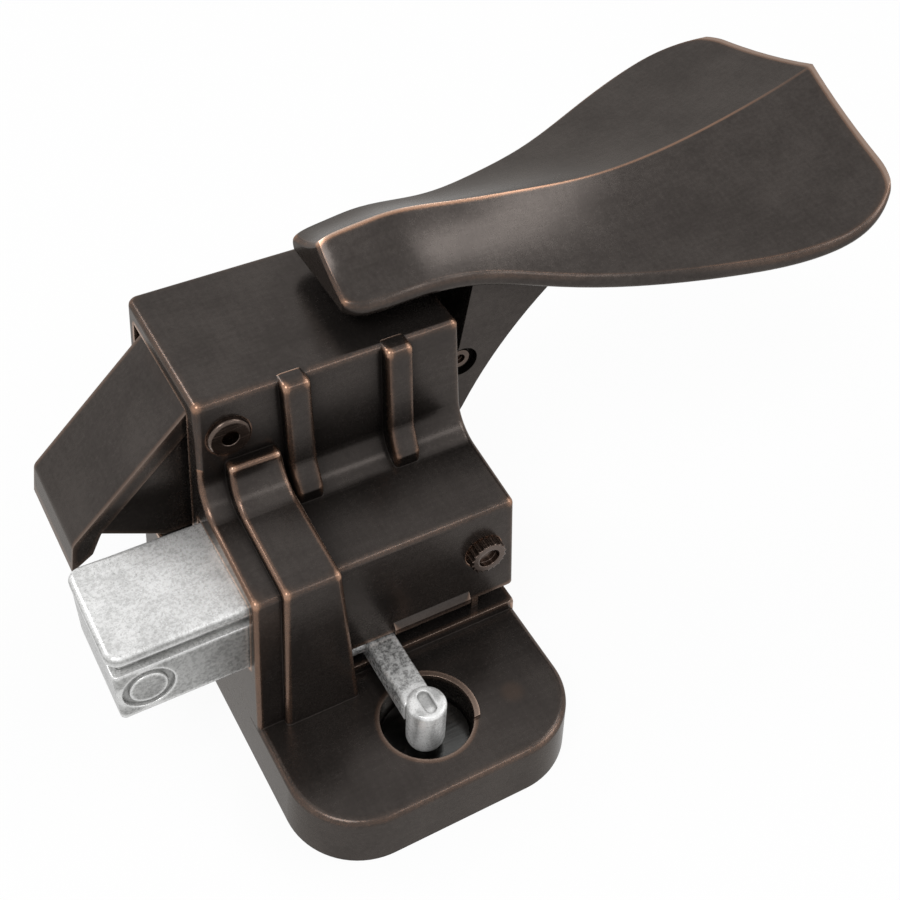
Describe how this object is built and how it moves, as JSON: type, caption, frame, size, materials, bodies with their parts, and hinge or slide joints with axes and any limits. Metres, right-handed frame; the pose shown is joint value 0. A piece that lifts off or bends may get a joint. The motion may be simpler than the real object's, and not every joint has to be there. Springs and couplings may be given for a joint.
{
  "type": "storm door push handle",
  "caption": "Push handle latch for a storm door: swept casting with a winged push paddle, a sloped latch nose, a sliding dead bolt and a lock crank.",
  "frame": {"origin": "on the door face, at the middle of the case's length, level with the front of the case's hollow", "axes": "+X along the case from the latch side to the paddle's tip, +Y up the door, +Z out from the door"},
  "size_m": [0.1164, 0.0738, 0.0636],
  "materials": {
    "bronze": "satin oil rubbed bronze with copper worn through at the edges",
    "zinc": "raw tumbled casting, mottled",
    "dark_steel": "satin bronze coloured",
    "plated_steel": "zinc plated",
    "spring_steel": "drawn wire"
  },
  "bodies": {
    "body": {"case": "bronze", "back_plate": "plated_steel", "back_plate_screws": "plated_steel", "handle_pin": "plated_steel", "handle_pin_collar": "dark_steel", "nose_pin": "dark_steel", "pin_clips": "plated_steel", "hub_bushing": "plated_steel"},
    "handle": {"push_handle": "bronze", "link_pin": "dark_steel", "handle_spring": "spring_steel"},
    "nose": {"latch_nose": "bronze", "nose_link_pin": "plated_steel", "nose_spring": "spring_steel"},
    "link": {"pull_link": "plated_steel"},
    "bolt": {"dead_bolt": "zinc"},
    "crank": {"lock_crank": "zinc", "crank_pin": "plated_steel", "crank_ring": "plated_steel"}
  },
  "joints": [
    {"name": "handle_push", "type": "hinge", "parent": "body", "child": "handle", "pos_m": [0.014, 0.0177, 0.023], "axis": [0, 1, 0], "range_deg": [0, 13], "stiffness_Nm_per_rad": 0.5, "springref_deg": -14.32, "deforming": ["handle_spring"]},
    {"name": "nose_swing", "type": "hinge", "parent": "body", "child": "nose", "pos_m": [-0.0139, 0.0175, 0.0436], "axis": [0, -1, 0], "range_deg": [0, 39], "deforming": ["nose_spring"]},
    {"name": "link_turn", "type": "hinge", "parent": "handle", "child": "link", "pos_m": [0.0214, 0.0177, 0.037], "axis": [0, -1, 0], "range_deg": [0, 7]},
    {"name": "crank_turn", "type": "hinge", "parent": "body", "child": "crank", "pos_m": [0, -0.0205, 0.0105], "axis": [0, 0, -1], "range_deg": [0, 32.5]},
    {"name": "bolt_slide", "type": "slide", "parent": "body", "child": "bolt", "axis": [1, 0, 0], "range_m": [0, 0.0095]}
  ],
  "couplings": [
    {"joint": "nose_swing", "follows": "handle_push", "ratio": 2.923},
    {"joint": "link_turn", "follows": "handle_push", "ratio": 0.5},
    {"joint": "crank_turn", "follows": "bolt_slide", "rad_per_m": 58.79}
  ]
}
